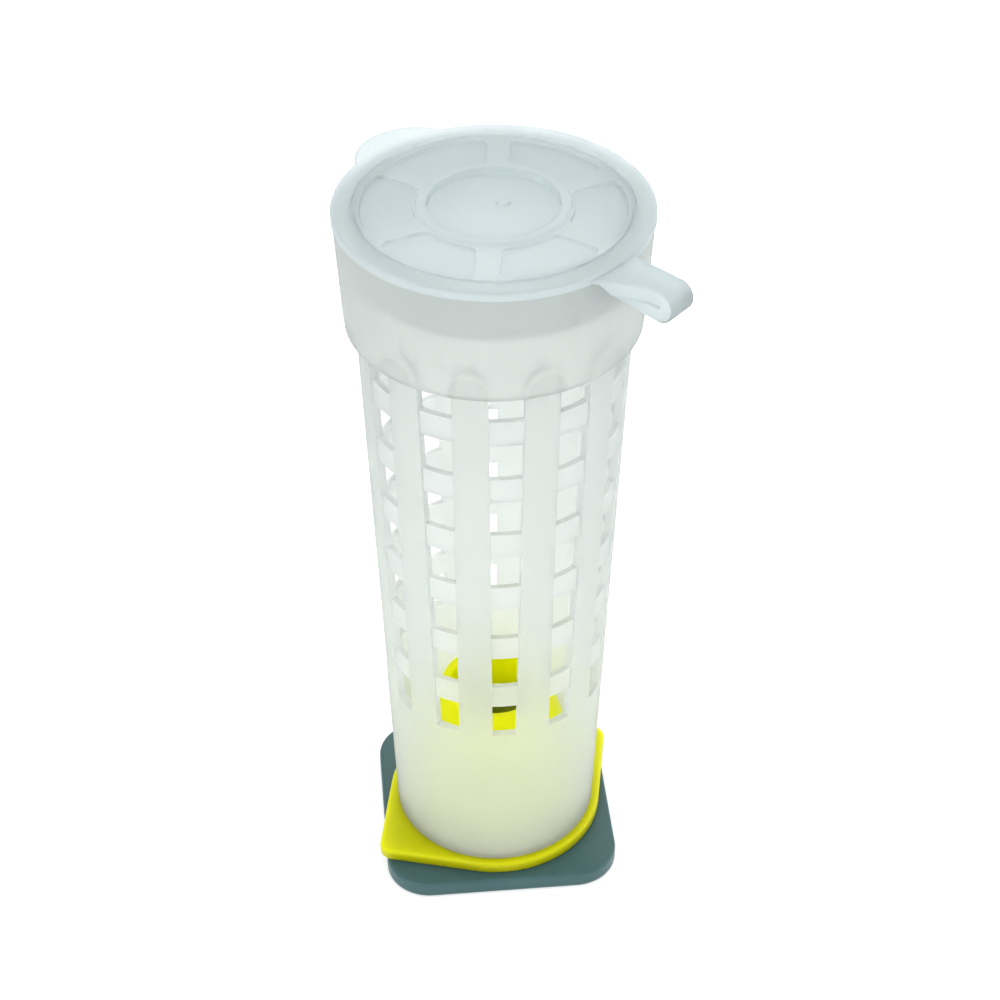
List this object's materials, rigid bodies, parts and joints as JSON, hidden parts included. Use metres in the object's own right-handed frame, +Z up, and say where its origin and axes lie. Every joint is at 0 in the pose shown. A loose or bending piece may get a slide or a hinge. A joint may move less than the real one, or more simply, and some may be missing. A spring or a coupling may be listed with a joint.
{
  "type": "roller queen cage",
  "caption": "Slatted tapered queen cage for beekeeping with a tethered plug lid, standing over its cell cup holder on a square mounting block.",
  "frame": {"origin": "middle of the mounting block's underside, on the cage's axis", "axes": "+Z up along the cage's axis, -Y the front, +X to the right seen from the front; the block's sides lie along X and Y"},
  "size_m": [0.0291, 0.0292, 0.0742],
  "materials": {
    "cage_plastic": "natural translucent moulded plastic, satin",
    "holder_plastic": "bright yellow moulded plastic, satin gloss",
    "cup_plastic": "olive moulded plastic",
    "block_plastic": "grey blue moulded plastic, satin gloss"
  },
  "bodies": {
    "block": {"mounting_block": "block_plastic"},
    "holder": {"cup_holder": "holder_plastic"},
    "cup": {"cell_cup": "cup_plastic"},
    "cage": {"cage_skirt": "cage_plastic", "cage_tube": "cage_plastic", "cage_collar": "cage_plastic", "tether_strap": "cage_plastic"},
    "lid": {"lid": "cage_plastic"}
  },
  "joints": [
    {"name": "holder_lift", "type": "slide", "parent": "block", "child": "holder", "axis": [0, 0, 1], "range_m": [0, 0.003]},
    {"name": "cup_lift", "type": "slide", "parent": "holder", "child": "cup", "axis": [0, 0, 1], "range_m": [0, 0.013]},
    {"name": "cage_lift", "type": "slide", "parent": "holder", "child": "cage", "axis": [0, 0, 1], "range_m": [0, 0.018]},
    {"name": "lid_hinge", "type": "hinge", "parent": "cage", "child": "lid", "pos_m": [0.01312, -0.01312, 0.072], "axis": [0.7071, 0.7071, 0], "range_deg": [0, 110], "deforming": ["tether_strap"]}
  ]
}
